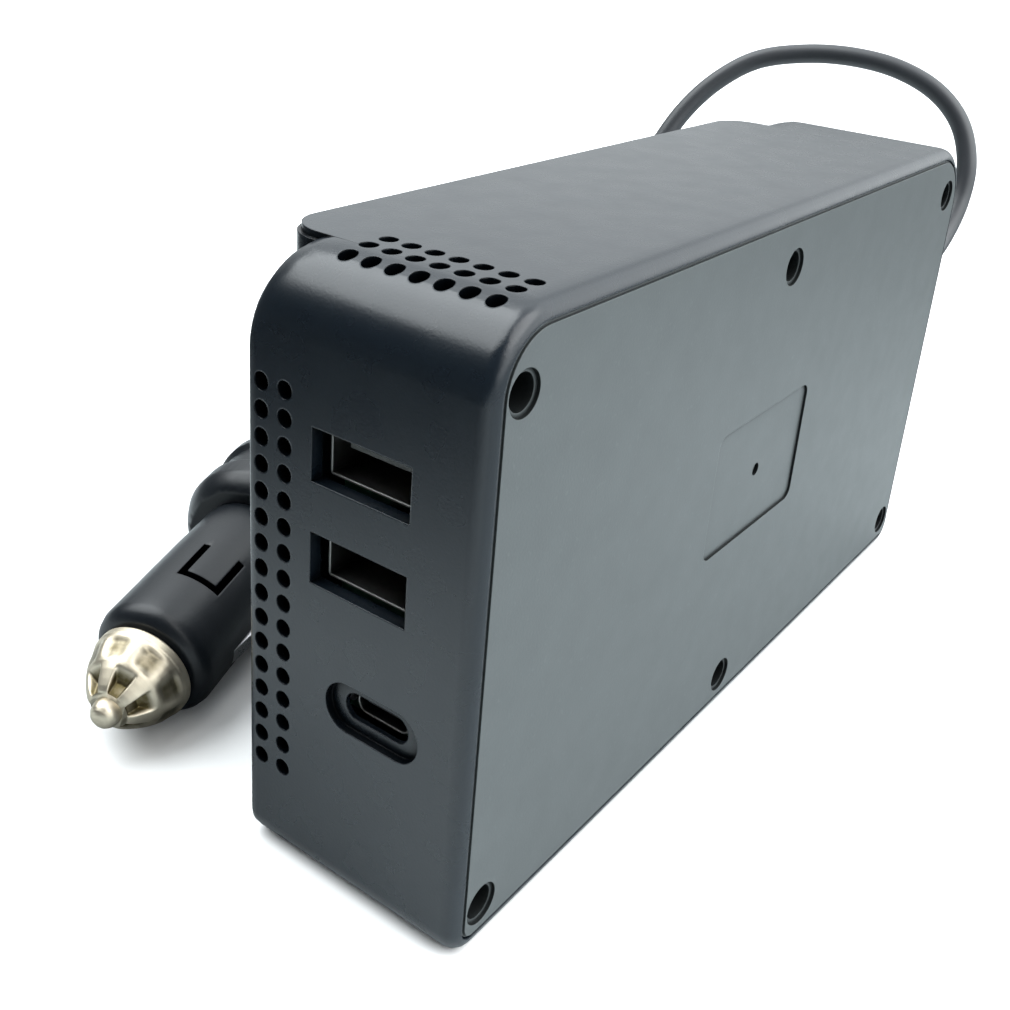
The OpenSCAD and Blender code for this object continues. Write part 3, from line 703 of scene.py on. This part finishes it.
SOFT_EDGE = {
    "outlet_insert": 0.3, "switch_frame": 0.25,
    "power_rocker": 0.35, "plug_barrel": 0.2, "plug_head": 0.2,
    "usb_a_tongue_upper": 0.15, "usb_a_tongue_lower": 0.15,
}

for name, style in PAINT.items():
    paint(nodes[name], style)
    soften(nodes[name], SOFT_EDGE.get(name, 0))
for piece, style in ((cord_tube, "rubber"), (nose_cap, "nickel"), (boot_ribbed, "rubber"),
                     (relief_ribbed, "rubber"), (tip_spring, "steel"), (fan_wheel, "black")):
    paint(piece, style)

tuple(cord_line[0])
[tuple(p) for p in cord_line]


# --- Floor and light ---

FLOOR_RADIUS = 6
PLUG_MIDDLE = (-0.045, -0.055, 0)

# Patches of light round the object: where each is, the cosines from its centre at which it ends and is full,
# and its strength.
LIGHT_PATCHES = (
    ((-0.50, -0.16, 0.84), 0.86, 0.905, 5.6),
    ((-0.05, 0.30, 0.95), 0.78, 0.95, 1.0),
    ((-0.50, 0.66, 0.56), 0.62, 1.0, 1.36),
    ((0.84, 0.48, 0.26), 0.3, 0.9, 3.1),
)
AMBIENT = 0.05
WORLD_COLOUR = (0.93, 0.98, 1, 1)
SUN_STRENGTH = 2.2
SUN_SPREAD_DEG = 60
SUN_FROM = (0.6, 0.1, 0.8)


def make_disc(name, material, z):
    """A round, flat floor that is staging, not part of the object."""
    bm = bmesh.new()
    bmesh.ops.create_circle(bm, cap_ends=True, segments=96, radius=FLOOR_RADIUS)
    mesh = bpy.data.meshes.new(name)
    bm.to_mesh(mesh)
    bm.free()
    mesh.materials.append(material)
    disc = bpy.data.objects.new(name, mesh)
    disc.location.z = z
    scene.collection.objects.link(disc)
    return disc


def make_floor():
    """A pale paper floor for the camera, and one that only lights the object and fades into a dim room."""
    r = Recipe("floor_paper", roughness=0.9, specular_ior_level=0.2)
    shade = r.mix(r.spread(r.noise(3, 2), 0.3, 0.7, 0, 1), (0.86, 0.86, 0.86), (0.88, 0.88, 0.88))
    floor = make_disc("floor", r.finish(shade), -0.00005)
    floor.visible_diffuse = False
    floor.visible_glossy = False
    floor.visible_transmission = False

    r = Recipe("floor_bounce", roughness=0.9, specular_ior_level=0.2)
    split = r.node("ShaderNodeSeparateXYZ")
    r.link(r.place, split.inputs[0])
    # How much of the floor's light is left on each side, from the distance in metres at which it starts to
    # change to the one at which it has changed.
    slant = r.sum(r.sum(split.outputs["X"], 0.8, "MULTIPLY"), split.outputs["Y"])
    ahead = r.spread(slant, -0.28, -0.15, 0.04, 1)
    aside = r.spread(split.outputs["X"], 0.03, 0.3, 1, 0.5)
    behind = r.spread(split.outputs["Y"], 0.06, 0.36, 1, 0.35)
    away = r.node("ShaderNodeVectorMath", operation="DISTANCE")
    r.link(r.place, away.inputs[0])
    away.inputs[1].default_value = PLUG_MIDDLE
    beside = r.spread(away.outputs["Value"], 0.02, 0.06, 0.15, 1)
    share = r.sum(r.sum(ahead, aside, "MULTIPLY"), r.sum(behind, beside, "MULTIPLY"), "MULTIPLY")
    bounce = make_disc("floor_bounce", r.finish(r.mix(share, (0, 0, 0), (0.80, 0.86, 0.88))), -0.0001)
    bounce.visible_camera = False
    bounce.visible_shadow = False


def make_world():
    """A pale studio: bright overhead, behind and to the right, dim at the front left."""
    world = bpy.data.worlds.new("studio")
    scene.world = world
    world.use_nodes = True
    tree = world.node_tree
    tree.nodes.clear()
    output = tree.nodes.new("ShaderNodeOutputWorld")
    back = tree.nodes.new("ShaderNodeBackground")
    pale = tree.nodes.new("ShaderNodeBackground")
    pale.inputs["Color"].default_value = (1, 1, 1, 1)
    seen = tree.nodes.new("ShaderNodeMixShader")
    tree.links.new(tree.nodes.new("ShaderNodeLightPath").outputs["Is Camera Ray"], seen.inputs[0])
    tree.links.new(back.outputs[0], seen.inputs[1])
    tree.links.new(pale.outputs[0], seen.inputs[2])
    tree.links.new(seen.outputs[0], output.inputs["Surface"])
    place = tree.nodes.new("ShaderNodeTexCoord").outputs["Generated"]
    total = None
    for direction, low, high, strength in LIGHT_PATCHES:
        dot = tree.nodes.new("ShaderNodeVectorMath")
        dot.operation = "DOT_PRODUCT"
        tree.links.new(place, dot.inputs[0])
        dot.inputs[1].default_value = Vector(direction).normalized()
        lobe = tree.nodes.new("ShaderNodeMapRange")
        lobe.interpolation_type = "SMOOTHSTEP"
        for socket, number in zip(("From Min", "From Max", "To Min", "To Max"), (low, high, 0, strength)):
            lobe.inputs[socket].default_value = number
        tree.links.new(dot.outputs["Value"], lobe.inputs["Value"])
        if total is None:
            total = lobe.outputs["Result"]
        else:
            add = tree.nodes.new("ShaderNodeMath")
            tree.links.new(total, add.inputs[0])
            tree.links.new(lobe.outputs["Result"], add.inputs[1])
            total = add.outputs[0]
    lift = tree.nodes.new("ShaderNodeMath")
    lift.inputs[1].default_value = AMBIENT
    tree.links.new(total, lift.inputs[0])
    tree.links.new(lift.outputs[0], back.inputs["Strength"])
    back.inputs["Color"].default_value = WORLD_COLOUR


def make_sun():
    """One wide, soft key light from the upper right."""
    data = bpy.data.lights.new("key", "SUN")
    data.energy = SUN_STRENGTH
    data.angle = math.radians(SUN_SPREAD_DEG)
    sun = bpy.data.objects.new("key", data)
    scene.collection.objects.link(sun)
    sun.rotation_mode = "QUATERNION"
    sun.rotation_quaternion = Vector(SUN_FROM).to_track_quat("Z", "Y")


make_floor()
make_world()
make_sun()
scene.view_settings.view_transform = "Standard"
